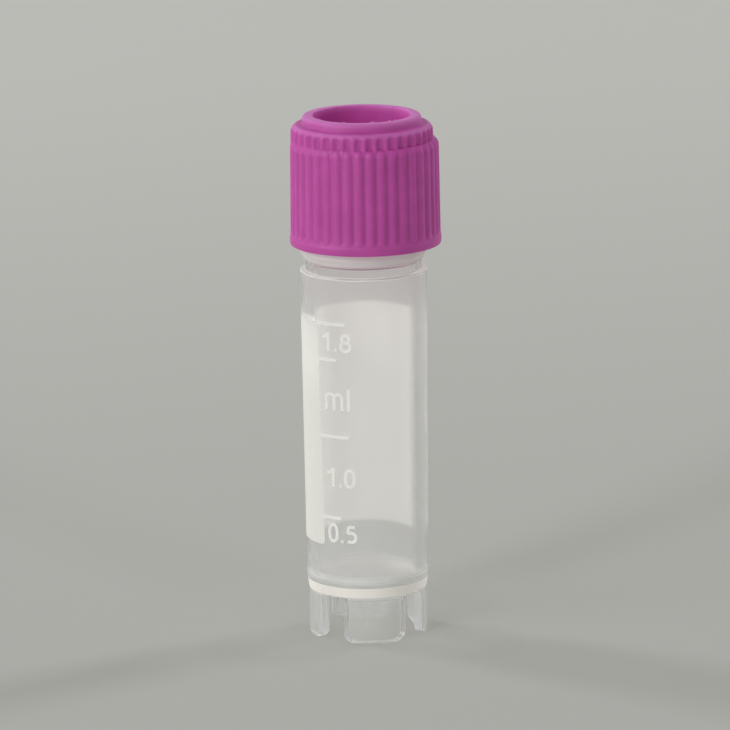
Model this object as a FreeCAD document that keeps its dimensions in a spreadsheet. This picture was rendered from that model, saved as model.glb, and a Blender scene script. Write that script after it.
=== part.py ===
"""Screw-capped cryogenic vial that stands on its own feet: tube, screw cap and sealing washer.

Frame: +Z up along the tube's axis, origin on the axis in the plane that the feet stand on.
Lengths are millimetres and angles degrees.
"""
import FreeCAD, Part
import math
import os

import Sketcher

V = FreeCAD.Vector

SIZES = {
    # tube: bore, body and floor
    "bore_radius": (4.75, "inner radius of the tube at its mouth"),
    "bore_draft": (0.15, "how much narrower the bore is at the floor"),
    "body_wall": (1.12, "wall of the body at its shoulder"),
    "body_draft": (0.25, "how much narrower the body is above the band"),
    "shoulder_height": (34.5, "height of the body's top edge above the ground"),
    "cone_depth": (2.6, "drop of the conical floor from wall to middle"),
    "cone_flat": (0.6, "radius of the flat at the floor's middle"),
    "floor_wall": (1.0, "thickness of the floor, measured upright"),
    "floor_lift": (0.2, "floor's underside above the slots, at the wall"),
    "gate_root": (0.85, "radius of the moulding gate's pip where it meets the floor"),
    "gate_tip": (0.3, "radius of the pip's end"),
    "gate_gap": (0.2, "pip's end above the ground"),
    # tube: band and feet
    "band_inset": (0.1, "thick band's surface inside the body's"),
    "band_height": (0.95, "height of the band above the feet"),
    "foot_inset": (0.15, "feet's surface inside the body's"),
    "foot_height": (4.33, "height of the slots that part the skirt into feet"),
    "foot_wall": (0.9, "wall of the feet"),
    "foot_count": (4, "number of feet"),
    "foot_turn": (7.2, "angle of the first foot's middle from -Y, towards +X"),
    "foot_corner": (1.0, "rounding of a foot's lower corners"),
    "slot_width": (2.4, "width of the slot between two feet"),
    # tube: waist, collar and neck
    "ledge_rise": (0.35, "rise of the sloping ledge above the body's top edge"),
    "waist_depth": (0.43, "waist's surface inside the collar's"),
    "waist_height": (0.45, "height of the waist"),
    "collar_step": (0.55, "collar's surface outside the neck's"),
    "collar_slope": (0.5, "height of the collar's sloping underside"),
    "collar_height": (1.7, "height of the collar's plain part"),
    "neck_wall": (0.55, "wall of the neck at the root of its thread"),
    "neck_height": (10.0, "height of the mouth above the body's top edge"),
    "mouth_chamfer": (0.2, "chamfer of the mouth's outer edge"),
    # cap: bore and skirt
    "thread_room": (0.56, "radial room between neck and cap for the two threads"),
    "collar_gap": (0.2, "clearance of the cap's mouth round and over the collar"),
    "cap_gap": (2.44, "space between the body's top edge and the cap"),
    "cap_wall": (1.08, "wall of the skirt above its bead, with the ribs"),
    "skirt_draft": (0.08, "how much narrower the skirt is at its top"),
    "cap_shift": (0.23, "sideways offset of the skirt's half of the mould, towards +X"),
    "bead_proud": (0.05, "plain bead at the cap's lower edge outside the ribs"),
    "bead_height": (0.85, "height of the bead"),
    "bead_bevel": (0.22, "bevel of the bead's two edges"),
    # cap: crown, rim and recess
    "crown_inset": (0.37, "crown's surface inside the skirt's ribs"),
    "crown_height": (1.45, "height of the crown's upright wall, up to its flat shoulder"),
    "crown_round": (0.75, "rounding of the crown's shoulder"),
    "step_height": (0.75, "height of the slanting step between skirt and crown"),
    "shoulder_width": (1.14, "rim's outer edge inside the crown's surface"),
    "rim_wall": (0.93, "wall of the rim round the recess"),
    "rim_rise": (0.8, "rise of the rim above the crown's shoulder"),
    "rim_bevel": (0.3, "bevel of the rim's outer edge"),
    "rim_spread": (0.1, "spread of the rim's wall towards its foot"),
    "recess_depth": (2.3, "depth of the round recess that takes a colour insert"),
    "deck_wall": (1.1, "thickness of the cap's deck under the recess"),
    # cap: ribs
    "rib_count": (40, "number of ribs round the cap"),
    "skirt_turn": (0.0, "angle of a skirt groove from -Y, towards +X"),
    "groove_width": (0.66, "width of the groove between two skirt ribs"),
    "groove_floor": (0.2, "width of that groove's floor"),
    "groove_depth": (0.2, "depth of that groove"),
    "pocket_turn": (-2.4, "angle of a crown pocket from that groove"),
    "pocket_width": (0.84, "width of the pocket between two crown ribs"),
    "pocket_floor": (0.44, "width of that pocket's floor"),
    "pocket_depth": (0.27, "depth of that pocket"),
    # sealing washer and the boss that holds it
    "washer_wall": (1.0, "thickness of the sealing washer"),
    "washer_gap": (0.16, "clearance of the washer inside the cap and round its boss"),
    "washer_overhang": (1.19, "reach of the washer inside the tube's bore"),
    "boss_reach": (0.6, "reach of the boss into the tube's mouth"),
}
# how far the middle of a rounded corner lies in from the sharp one, as a share of its radius
CORNER_CUT = 1 - math.sqrt(0.5)


class Size:
    """A number with the expression that binds it to the sheet."""

    def __init__(self, text, value):
        self.text = text
        self.value = value

    @staticmethod
    def of(other):
        return other if isinstance(other, Size) else Size(repr(other), other)

    def _join(self, sign, other, value):
        return Size(f"({self.text} {sign} {other.text})", value)

    def __add__(self, other):
        other = Size.of(other)
        return self._join("+", other, self.value + other.value)

    def __sub__(self, other):
        other = Size.of(other)
        return self._join("-", other, self.value - other.value)

    def __mul__(self, other):
        other = Size.of(other)
        return self._join("*", other, self.value * other.value)

    def __truediv__(self, other):
        other = Size.of(other)
        return self._join("/", other, self.value / other.value)

    def __rtruediv__(self, other):
        return Size.of(other) / self

    def __neg__(self):
        return Size(f"(-{self.text})", -self.value)


ZERO = Size("0", 0.0)


def make_sheet(doc):
    """Write the driving sizes to a spreadsheet and return them as Size objects by name."""
    sheet = doc.addObject("Spreadsheet::Sheet", "Sizes")
    sizes = {}
    for row, (name, (value, meaning)) in enumerate(SIZES.items(), start=1):
        sheet.set(f"A{row}", name)
        sheet.set(f"B{row}", str(value))
        sheet.set(f"C{row}", meaning)
        sheet.setAlias(f"B{row}", name)
        sizes[name] = Size(f"Sizes.{name}", float(value))
    doc.recompute()
    return sizes


def make_body(doc, name):
    body = doc.addObject("PartDesign::Body", name)
    body.Label = name
    return body


def origin_part(body, role):
    """One of the body's own origin planes or axes."""
    return next(f for f in body.Origin.OriginFeatures if f.Role == role)


def make_sketch(body, name, plane, offset=None, turn=None):
    """A sketch on one of the body's origin planes, moved by offset = (x, y, z) and turned."""
    sketch = body.newObject("Sketcher::SketchObject", name)
    sketch.AttachmentSupport = [(origin_part(body, plane), "")]
    sketch.MapMode = "FlatFace"
    for axis, size in zip("xyz", offset or ()):
        if isinstance(size, Size):
            sketch.setExpression(f"AttachmentOffset.Base.{axis}", size.text)
    if turn is not None:
        sketch.AttachmentOffset = FreeCAD.Placement(V(), FreeCAD.Rotation(V(0, 0, 1), turn.value))
        sketch.setExpression("AttachmentOffset.Rotation.Angle", turn.text)
    return sketch


def pin_point(sketch, geometry, point, x, y):
    """Hold one point of a sketch at x, y from the sketch's origin."""
    for kind, size, axis in (("DistanceX", x, -2), ("DistanceY", y, -1)):
        if size is ZERO:
            sketch.addConstraint(Sketcher.Constraint("PointOnObject", geometry, point, axis))
            continue
        index = sketch.addConstraint(Sketcher.Constraint(kind, -1, 1, geometry, point, size.value))
        sketch.setExpression(f"Constraints[{index}]", size.text)


def draw_outline(sketch, points):
    """Close a chain of straight edges through points, each held at its own x and y."""
    count = len(points)
    corners = [V(x.value, y.value, 0) for x, y in points]
    for i in range(count):
        sketch.addGeometry(Part.LineSegment(corners[i], corners[(i + 1) % count]), False)
    for i in range(count):
        sketch.addConstraint(Sketcher.Constraint("Coincident", i, 2, (i + 1) % count, 1))
    for i, (x, y) in enumerate(points):
        pin_point(sketch, i, 1, x, y)


def draw_circle(sketch, x, y, radius):
    circle = Part.Circle(V(x.value, y.value, 0), V(0, 0, 1), radius.value)
    index = sketch.addGeometry(circle, False)
    pin_point(sketch, index, 3, x, y)
    held = sketch.addConstraint(Sketcher.Constraint("Radius", index, radius.value))
    sketch.setExpression(f"Constraints[{held}]", radius.text)


def draw_channel(sketch, radius, width, floor, depth):
    """A channel's plan on the -Y side of a round wall: sloping sides, flat floor, open outwards."""
    outside = -(radius + depth)
    inside = -(radius - depth)
    draw_outline(sketch, [
        (-floor / 2, inside),
        (-width / 2, -radius),
        (-width / 2, outside),
        (width / 2, outside),
        (width / 2, -radius),
        (floor / 2, inside),
    ])


def revolve(body, name, sketch, kind="Revolution"):
    """Turn the sketch's outline all round its own upright axis, adding or cutting."""
    feature = body.newObject(f"PartDesign::{kind}", name)
    feature.Profile = sketch
    feature.ReferenceAxis = (sketch, ["V_Axis"])
    feature.Angle = 360
    return feature


def pocket(body, name, sketch, length):
    """Cut the sketch's outline upwards by length."""
    feature = body.newObject("PartDesign::Pocket", name)
    feature.Profile = sketch
    feature.Length = length.value
    feature.setExpression("Length", length.text)
    feature.Reversed = True
    return feature


def polar_pattern(body, name, feature, sketch, count):
    """Repeat a cut all round the axis through its sketch's origin."""
    pattern = body.newObject("PartDesign::PolarPattern", name)
    pattern.Originals = [feature]
    pattern.Axis = (sketch, ["N_Axis"])
    pattern.Angle = 360
    pattern.setExpression("Occurrences", count.text)
    body.Tip = pattern
    return pattern


def round_edges(doc, body, name, radius, wanted):
    """Fillet the edges of the body's last feature that the test function wants."""
    doc.recompute()
    base = body.Tip
    picked = [f"Edge{i}" for i, edge in enumerate(base.Shape.Edges, start=1) if wanted(edge)]
    fillet = body.newObject("PartDesign::Fillet", name)
    fillet.Base = (base, picked)
    fillet.Radius = radius.value
    fillet.setExpression("Radius", radius.text)
    body.Tip = fillet
    return fillet


def shared_sizes(s):
    """Radii and heights above the ground that more than one piece takes from the same values."""
    neck = s["bore_radius"] + s["neck_wall"]
    collar = neck + s["collar_step"]
    collar_low = s["shoulder_height"] + s["ledge_rise"] + s["waist_height"]
    collar_top = collar_low + s["collar_slope"] + s["collar_height"]
    neck_top = s["shoulder_height"] + s["neck_height"]
    return {
        "neck": neck,
        "collar": collar,
        "cap_bore": neck + s["thread_room"],
        "cap_mouth": collar + s["collar_gap"],
        "washer_hole": s["bore_radius"] - s["washer_overhang"],
        "collar_low": collar_low,
        "collar_top": collar_top,
        "neck_top": neck_top,
        "deck_under": neck_top + s["washer_wall"],
    }


def make_tube(doc, s, shared):
    """One clear moulding: slotted skirt, conical floor, tapered body, waist, collar and neck."""
    body = make_body(doc, "tube")
    body_top = s["bore_radius"] + s["body_wall"]
    body_low = body_top - s["body_draft"]
    band = body_low - s["band_inset"]
    band_top = s["foot_height"] + s["band_height"]
    foot = body_low - s["foot_inset"]
    foot_bore = foot - s["foot_wall"]
    waist = shared["collar"] - s["waist_depth"]
    floor_under = s["foot_height"] + s["floor_lift"]
    floor_edge = floor_under + s["floor_wall"]
    section = make_sketch(body, "tube_section", "XZ_Plane")
    draw_outline(section, [
        (foot_bore, ZERO),
        (foot, ZERO),
        (foot, s["foot_height"]),
        (band, s["foot_height"]),
        (band, band_top),
        (body_low, band_top),
        (body_top, s["shoulder_height"]),
        (waist, s["shoulder_height"] + s["ledge_rise"]),
        (waist, shared["collar_low"]),
        (shared["collar"], shared["collar_low"] + s["collar_slope"]),
        (shared["collar"], shared["collar_top"]),
        (shared["neck"], shared["collar_top"]),
        (shared["neck"], shared["neck_top"] - s["mouth_chamfer"]),
        (shared["neck"] - s["mouth_chamfer"], shared["neck_top"]),
        (s["bore_radius"], shared["neck_top"]),
        (s["bore_radius"] - s["bore_draft"], floor_edge),
        (s["cone_flat"], floor_edge - s["cone_depth"]),
        (ZERO, floor_edge - s["cone_depth"]),
        (ZERO, s["gate_gap"]),
        (s["gate_tip"], s["gate_gap"]),
        (s["gate_root"], floor_under - s["cone_depth"]),
        (foot_bore, floor_under),
    ])
    revolve(body, "tube_turned", section)

    slot = make_sketch(body, "slot_plan", "XY_Plane", turn=s["foot_turn"] + 180 / s["foot_count"])
    half = s["slot_width"] / 2
    inner = -(foot_bore - half * half / foot_bore)
    outer = -(band + s["foot_wall"])
    draw_outline(slot, [(-half, outer), (half, outer), (half, inner), (-half, inner)])
    cut = pocket(body, "slot", slot, s["foot_height"])
    polar_pattern(body, "slots", cut, slot, s["foot_count"])

    def foot_corner(edge):
        """Is this one of the short straight edges where a foot stands on the ground?"""
        on_ground = all(abs(vertex.Z) < 1e-6 for vertex in edge.Vertexes)
        return on_ground and isinstance(edge.Curve, Part.Line)

    round_edges(doc, body, "foot_corners", s["foot_corner"], foot_corner)
    return body


def make_cap(doc, s, shared):
    """The screw cap: crown with a round recess, ribbed skirt set off to one side, and bore."""
    body = make_body(doc, "screw_cap")
    deck_under = shared["deck_under"]
    recess_floor = deck_under + s["deck_wall"]
    cap_top = recess_floor + s["recess_depth"]
    crown_flat = cap_top - s["rim_rise"]
    step_high = crown_flat - s["crown_height"]
    step_low = step_high - s["step_height"]
    cap_low = s["shoulder_height"] + s["cap_gap"]
    bead_top = cap_low + s["bead_height"]
    ribs = shared["cap_bore"] + s["cap_wall"]
    bead = ribs + s["bead_proud"]
    crown = ribs - s["crown_inset"]
    crown_corner = s["crown_round"] * CORNER_CUT
    rim = crown - s["shoulder_width"]

    crown_section = make_sketch(body, "crown_section", "XZ_Plane")
    draw_outline(crown_section, [
        (ZERO, deck_under),
        (crown, deck_under),
        (crown, crown_flat - s["crown_round"]),
        (crown - crown_corner, crown_flat - crown_corner),
        (crown - s["crown_round"], crown_flat),
        (rim + s["rim_spread"], crown_flat),
        (rim, cap_top - s["rim_bevel"]),
        (rim - s["rim_bevel"], cap_top),
        (ZERO, cap_top),
    ])
    revolve(body, "crown", crown_section)
    pocket_turn = s["skirt_turn"] + s["pocket_turn"]
    pocket_plan = make_sketch(body, "pocket_plan", "XY_Plane", (None, None, deck_under), pocket_turn)
    draw_channel(pocket_plan, crown, s["pocket_width"], s["pocket_floor"], s["pocket_depth"])
    cut = pocket(body, "crown_pocket", pocket_plan, crown_flat - deck_under)
    polar_pattern(body, "crown_pockets", cut, pocket_plan, s["rib_count"])

    skirt_section = make_sketch(body, "skirt_section", "XZ_Plane", (s["cap_shift"],))
    draw_outline(skirt_section, [
        (ZERO, cap_low),
        (bead - s["bead_bevel"], cap_low),
        (bead, cap_low + s["bead_bevel"]),
        (bead, bead_top - s["bead_bevel"]),
        (ribs, bead_top),
        (ribs - s["skirt_draft"], step_low),
        (crown - s["cap_shift"], step_high),
        (ZERO, step_high),
    ])
    revolve(body, "skirt", skirt_section)
    groove_place = (s["cap_shift"], None, bead_top)
    groove_plan = make_sketch(body, "groove_plan", "XY_Plane", groove_place, s["skirt_turn"])
    draw_channel(groove_plan, ribs, s["groove_width"], s["groove_floor"], s["groove_depth"])
    cut = pocket(body, "skirt_groove", groove_plan, step_low + s["groove_depth"] - bead_top)
    polar_pattern(body, "skirt_grooves", cut, groove_plan, s["rib_count"])

    recess_plan = make_sketch(body, "recess_plan", "XY_Plane", (None, None, recess_floor))
    draw_circle(recess_plan, ZERO, ZERO, rim - s["rim_wall"])
    pocket(body, "recess", recess_plan, s["recess_depth"])

    boss = shared["washer_hole"] - s["washer_gap"]
    boss_end = shared["neck_top"] - s["boss_reach"]
    mouth_top = shared["collar_top"] + s["collar_gap"]
    bore_section = make_sketch(body, "bore_section", "XZ_Plane")
    draw_outline(bore_section, [
        (ZERO, cap_low),
        (shared["cap_mouth"], cap_low),
        (shared["cap_mouth"], mouth_top),
        (shared["cap_bore"], mouth_top),
        (shared["cap_bore"], deck_under),
        (boss, deck_under),
        (boss, boss_end),
        (ZERO, boss_end),
    ])
    revolve(body, "bore", bore_section, kind="Groove")
    return body


def make_washer(doc, s, shared):
    """The flat silicone ring that seals the cap's deck against the tube's mouth."""
    body = make_body(doc, "sealing_washer")
    outer = shared["cap_bore"] - s["washer_gap"]
    section = make_sketch(body, "washer_section", "XZ_Plane")
    draw_outline(section, [
        (shared["washer_hole"], shared["neck_top"]),
        (outer, shared["neck_top"]),
        (outer, shared["deck_under"]),
        (shared["washer_hole"], shared["deck_under"]),
    ])
    revolve(body, "washer_ring", section)
    return body


def main():
    doc = FreeCAD.newDocument("cryovial")
    sizes = make_sheet(doc)
    shared = shared_sizes(sizes)
    bodies = [maker(doc, sizes, shared) for maker in (make_tube, make_cap, make_washer)]
    doc.recompute()
    failed = [o.Label for o in doc.Objects if {"Invalid", "Error"} & set(o.State)]
    if failed:
        raise RuntimeError(f"features that failed: {failed}")
    for body in bodies:
        shape = body.Shape
        if shape.isNull() or not shape.isValid() or len(shape.Solids) != 1:
            raise RuntimeError(f"{body.Label} is not one valid solid")
    os.makedirs("parts", exist_ok=True)
    for body in bodies:
        body.Shape.exportStep(f"parts/{body.Label}.step")
        box = body.Shape.BoundBox
        print(f"{body.Label}: {body.Shape.Volume:.2f} mm3, z {box.ZMin:.2f} to {box.ZMax:.2f}")


main()
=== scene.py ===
"""Screw-capped cryogenic vial: clear tube on slotted feet, its white scale, and a ribbed cap.

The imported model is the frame. Every surface is worked out in metres in its coordinates: +Z runs up
the tube's axis, and an angle round the vial is measured from -Y, the front, towards +X.
"""
import math

import bmesh
import bpy
import numpy as np
from mathutils import Matrix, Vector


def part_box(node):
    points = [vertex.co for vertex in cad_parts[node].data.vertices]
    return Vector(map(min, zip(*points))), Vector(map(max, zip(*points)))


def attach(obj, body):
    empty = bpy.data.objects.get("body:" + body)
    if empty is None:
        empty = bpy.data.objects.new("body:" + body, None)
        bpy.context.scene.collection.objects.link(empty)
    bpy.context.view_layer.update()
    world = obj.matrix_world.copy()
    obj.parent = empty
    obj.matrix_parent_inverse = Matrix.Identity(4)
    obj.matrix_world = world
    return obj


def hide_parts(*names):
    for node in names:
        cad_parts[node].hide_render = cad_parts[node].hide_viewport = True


bl_info = {
    "name": "Cryogenic vial",
    "version": (1, 0, 0),
    "blender": (4, 5, 0),
    "location": "View3D > Sidebar > Vial",
    "description": "Builds a screw-capped cryogenic vial with its print, threads and finishes",
    "category": "Add Mesh",
}

MM = 0.001
# Points closer than WELD become one, and a side shorter than SLIVER counts as nothing.
WELD, SLIVER = 0.0000012, 0.0000001
# Columns of points along a foot, in its rounded corner, across a slot and to a rib of the cap.
FOOT_COLUMNS, CORNER_COLUMNS, SLOT_COLUMNS, RIB_COLUMNS = 32, 13, 14, 16
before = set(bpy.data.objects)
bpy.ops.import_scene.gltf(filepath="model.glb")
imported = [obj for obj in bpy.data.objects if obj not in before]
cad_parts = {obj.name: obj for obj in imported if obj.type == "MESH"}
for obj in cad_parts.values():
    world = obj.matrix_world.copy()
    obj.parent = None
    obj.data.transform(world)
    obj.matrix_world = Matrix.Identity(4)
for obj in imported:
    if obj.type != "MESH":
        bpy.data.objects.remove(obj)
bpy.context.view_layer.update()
TUBE_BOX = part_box("tube")
CAP_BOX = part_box("screw_cap")
SEAL_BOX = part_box("sealing_washer")


# ---------------------------------------------------------------- properties

def length(name, description, millimetres):
    """A size in metres, given in millimetres."""
    return bpy.props.FloatProperty(
        name=name, description=description, default=millimetres * MM, unit="LENGTH", precision=5
    )


def turn(name, description, degrees):
    """An angle, given in degrees."""
    return bpy.props.FloatProperty(
        name=name, description=description, default=math.radians(degrees), unit="ROTATION"
    )


def share(name, description, value):
    """A plain number."""
    return bpy.props.FloatProperty(name=name, description=description, default=value, precision=3)


def tint(name, description, colour):
    """A linear colour."""
    return bpy.props.FloatVectorProperty(
        name=name, description=description, default=colour, subtype="COLOR", size=3, min=0, max=1
    )


class VialTubeSizes(bpy.types.PropertyGroup):
    """Sizes of the clear moulding"""

    foot_turn: turn("Foot turn", "Angle of the first foot's middle from the front", 7.2)
    foot_height: length("Foot height", "Height of the slots that part the feet", 4.33)
    foot_radius: length("Foot radius", "Outer radius of the feet", 5.47)
    foot_bore: length("Foot bore", "Inner radius of the feet", 4.57)
    foot_corner: length("Foot corner", "Rounding of a foot's lower corners", 1.0)
    foot_edge: length("Foot edge", "Rounding of a foot's long edges", 0.1)
    slot_width: length("Slot width", "Width of the slot between two feet", 2.4)
    band_top: length("Band top", "Height of the thick band's top edge", 5.28)
    body_low: length("Body radius, low", "Outer radius of the body above its band", 5.64)
    body_top: length("Body radius, top", "Outer radius of the body at its shoulder", 5.87)
    shoulder: length("Shoulder", "Height of the body's top edge", 34.5)
    waist: length("Waist radius", "Radius of the groove under the collar", 5.35)
    waist_low: length("Waist foot", "Height of the ledge on which the waist stands", 34.56)
    collar_low: length("Collar foot", "Height at which the collar's slope begins", 35.36)
    first_wide: length("First slope width", "Width of the small slope under the collar's", 0.12)
    first_high: length("First slope height", "Height of the small slope under the collar's", 0.13)
    collar_slope: length("Collar slope", "Height of the collar's slope", 0.75)
    collar: length("Collar radius", "Outer radius of the collar", 5.85)
    collar_top: length("Collar top", "Height of the collar's top", 37.5)
    neck: length("Neck radius", "Radius at the root of the thread", 5.3)
    mouth_edge: length("Mouth edge", "Bevel of the mouth's outer edge", 0.2)
    bore_top: length("Bore radius, top", "Inner radius at the mouth", 4.75)
    bore_low: length("Bore radius, low", "Inner radius above the floor", 4.6)
    floor_edge: length("Floor edge", "Height of the conical floor at the wall", 5.53)
    floor_middle: length("Floor middle", "Height of the conical floor in the middle", 2.93)
    floor_flat: length("Floor flat", "Radius of the flat in the floor's middle", 0.6)
    underside: length("Underside", "Rise of the floor's underside at the wall over the slots", 0.2)
    gate_low: length("Gate end", "Height of the gate pip's lower end", 0.2)
    gate_end: length("Gate end radius", "Radius of the gate pip's lower end", 0.3)
    gate_root: length("Gate root radius", "Radius of the gate pip's root", 0.85)
    gate_drop: length("Gate root drop", "Depth of the gate pip's root under the slots' heads", 2.4)


class VialCapSizes(bpy.types.PropertyGroup):
    """Sizes of the screw cap"""

    ribs: bpy.props.IntProperty(name="Ribs", description="Ribs round the cap", default=40, min=3)
    skirt_low: length("Skirt radius, low", "Radius over the ribs above the bead", 6.94)
    skirt_top: length("Skirt radius, top", "Radius over the ribs under the step", 6.86)
    skirt_shift: length("Skirt shift", "Offset of the skirt from the crown, towards +X", 0.23)
    bead: length("Bead radius", "Radius of the plain bead", 6.99)
    bead_height: length("Bead height", "Height of the bead", 0.85)
    bead_round: length("Bead rounding", "Rounding of the bead's edges", 0.24)
    groove_half: length("Groove half width", "Half the width of a skirt groove", 0.42)
    groove_depth: length("Groove depth", "Depth of a skirt groove", 0.15)
    groove_rise: length("Groove rise", "Height over which a groove deepens above the bead", 0.5)
    rib_full: length("Rib middle", "Distance from a groove's middle at which a rib is full", 0.55)
    rib_round: length("Rib rounding", "Fall of a rib's face at its groove", 0.03)
    pocket_half: length("Pocket half width", "Half the width of a crown pocket", 0.46)
    pocket_depth: length("Pocket depth", "Depth of a crown pocket", 0.24)
    pocket_turn: turn("Pocket turn", "Angle of the pockets from the grooves", -2.4)
    step_low: length("Step foot", "Height at which the rounded step begins", 45.9)
    step_high: length("Step head", "Height at which the rounded step ends", 46.65)
    crown: length("Crown radius", "Radius over the crown's ribs", 6.57)
    crown_round: length("Crown rounding", "Rounding of the crown's shoulder", 0.75)
    crown_flat: length("Crown shoulder", "Height of the crown's flat shoulder", 48.1)
    rim: length("Rim radius", "Outer radius of the raised rim", 5.43)
    rim_foot: length("Rim foot", "Width by which the rim spreads towards its foot", 0.1)
    recess: length("Recess radius", "Radius of the recess for a colour insert", 4.5)
    recess_draft: length("Recess draft", "Narrowing of the recess towards its floor", 0.06)
    recess_floor: length("Recess floor", "Height of the recess's floor", 46.6)
    mouth: length("Mouth radius", "Radius of the cap's mouth round the collar", 6.05)
    mouth_top: length("Mouth top", "Height of the step above the collar", 37.7)
    bore: length("Bore radius", "Radius of the bore round the thread", 5.86)
    boss: length("Boss radius", "Radius of the boss inside the seal", 3.4)
    boss_low: length("Boss end", "Height of the boss's lower end", 43.9)


class VialThreadSizes(bpy.types.PropertyGroup):
    """Sizes of the two mating threads"""

    lead: length("Lead", "Climb of the thread in one turn", 3.0)
    turns: share("Turns", "Turns of each thread", 1.5)
    depth: length("Depth", "Height of a thread above its wall", 0.42)
    root: length("Root width", "Width of a thread at its wall", 0.95)
    crest: length("Crest width", "Width of a thread at its crest", 0.5)
    start: length("Start", "Height of the neck thread's first middle", 38.7)
    play: length("Play", "Upright clearance between the two flanks", 0.14)
    run_out: share("Run-out", "Part of a turn over which each end of a thread fades", 0.06)


class VialPrintSizes(bpy.types.PropertyGroup):
    """Sizes of the white print"""

    ink: length("Ink", "Height of the ink above the wall", 0.018)
    key: length("Key", "Depth of the ink inside the wall's skin", 0.015)
    panel_low: length("Panel foot", "Height of the panel's lower edge", 9.23)
    panel_high: length("Panel head", "Height of the panel's upper edge", 30.3)
    panel_round: length("Panel rounding", "Rounding of the panel's corners", 0.35)
    front_high: turn("Front edge, top", "Angle of the panel's front edge at its top", -47.5)
    front_low: turn("Front edge, foot", "Angle of the panel's front edge at its foot", -44.0)
    back: turn("Back edge", "Angle of the panel's back edge", -250.0)
    line: length("Line", "Thickness of a scale line", 0.32)
    stroke: length("Stroke", "Thickness of a figure's strokes", 0.29)


class VialFinishes(bpy.types.PropertyGroup):
    """Colours of the vial's materials and of the stage"""

    clear: tint("Clear plastic", "Tint of the tube's plastic", (0.993, 0.99, 0.995))
    # Painted light: a pink tint for the plastic towards the cap, standing in for the cap's colour
    # shining down into the tube.
    cap_light_tint: tint("Warm plastic", "Tint of the plastic near the coloured cap", (0.995, 0.97, 0.977))
    band: tint("Band", "Colour of the thick band above the feet", (0.97, 0.93, 0.86))
    haze: tint("Haze", "Colour of the haze in the plastic", (0.96, 0.95, 0.945))
    neck: tint("Neck", "Colour of the haze near the coloured cap", (0.985, 0.985, 0.95))
    frost: tint("Frost", "Colour of the frosted floor inside the tube", (0.72, 0.72, 0.705))
    cap: tint("Cap", "Colour of the cap", (0.52, 0.064, 0.362))
    # Painted light: the lighter colour painted on the cap's thin rim and, as a highlight, on the edge
    # of its crown's shoulder.
    rim: tint("Rim", "Colour of the cap's thin rim, where light comes through", (0.60, 0.15, 0.48))
    ink: tint("Ink", "Colour of the print", (0.985, 0.98, 0.95))
    seal: tint("Seal", "Colour of the sealing washer", (0.72, 0.72, 0.70))
    floor: tint("Floor", "Colour of the floor", (0.55, 0.55, 0.517))
    sky: tint("Room", "Colour of the light from all round", (0.98, 1.0, 0.99))
    walls: tint("Walls", "Colour of the room that gloss and clear plastic show", (0.50, 0.52, 0.55))


# ------------------------------------------------------------------ surfaces

def around(radius, angle, height):
    """Points on circles about the axis: x = r sin a, y = -r cos a, z = h, over whole arrays."""
    radius, angle, height = np.broadcast_arrays(radius, angle, height)
    return np.stack([radius * np.sin(angle), -radius * np.cos(angle), height], axis=-1)


def smooth(low, high, value):
    """Rises from 0 at low to 1 at high along t * t * (3 - 2 t)."""
    t = np.clip((value - low) / (high - low), 0.0, 1.0)
    return t * t * (3 - 2 * t)


def corner_fall(radius, x):
    """How far a round corner of radius R draws back at x from its end: R - sqrt(R^2 - (R - x)^2)."""
    return radius - np.sqrt(np.maximum(radius ** 2 - np.maximum(radius - x, 0) ** 2, 0))


def corner_path(corners, step=0.0008, close=0.00005, bend=0.3):
    """A profile through (radius, height, rounding) corners.

    A corner with a rounding r gets an arc of radius r that touches both of its sides, and that
    takes up at most 0.45 of either, with a point at most every bend radians. A side is divided at
    most every step, with one point close to each of its ends, so that the sides keep their own
    direction next to a rounding.
    """
    points = np.array([corner[:2] for corner in corners], float)
    roundings = [corner[2] for corner in corners[1:-1]]
    pieces = [points[:1]]
    for before, here, after, rounding in zip(points, points[1:], points[2:], roundings):
        back, on = before - here, after - here
        back_length, on_length = np.hypot(*back), np.hypot(*on)
        back, on = back / back_length, on / on_length
        half = math.acos(np.clip(back @ on, -1, 1)) / 2
        reach = min(rounding / math.tan(half), 0.45 * back_length, 0.45 * on_length)
        if reach < SLIVER:
            pieces.append(here[None])
            continue
        radius = reach * math.tan(half)
        middle = here + (back + on) / np.hypot(*(back + on)) * radius / math.sin(half)
        first, last = here + back * reach, here + on * reach
        start = math.atan2(*(first - middle)[::-1])
        sweep = (math.atan2(*(last - middle)[::-1]) - start + math.pi) % (2 * math.pi) - math.pi
        angle = start + sweep * np.linspace(0, 1, 3 + int(abs(sweep) / bend))
        pieces.append(middle + radius * np.stack([np.cos(angle), np.sin(angle)], axis=-1))
    pieces.append(points[-1:])
    out = [pieces[0]]
    for piece in pieces[1:]:
        start, end = out[-1][-1], piece[0]
        span = np.hypot(*(end - start))
        if span > 4 * close:
            edge = close / span
            inner = np.linspace(edge, 1 - edge, 2 + int(span / step))
            out.append(start + (end - start) * inner[:, None])
        out.append(piece)
    return np.concatenate(out)


def grid_quads(rows, columns, joined, first):
    """Four corners for each cell of a grid whose points are numbered row by row from first."""
    row = np.arange(rows - 1)[:, None] * columns
    column = np.arange(columns if joined else columns - 1)
    beside = (column + 1) % columns
    here, next_row = first + row, first + row + columns
    quads = [here + column, here + beside, next_row + beside, next_row + column]
    return np.stack(quads, axis=-1).reshape(-1, 4)


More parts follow.
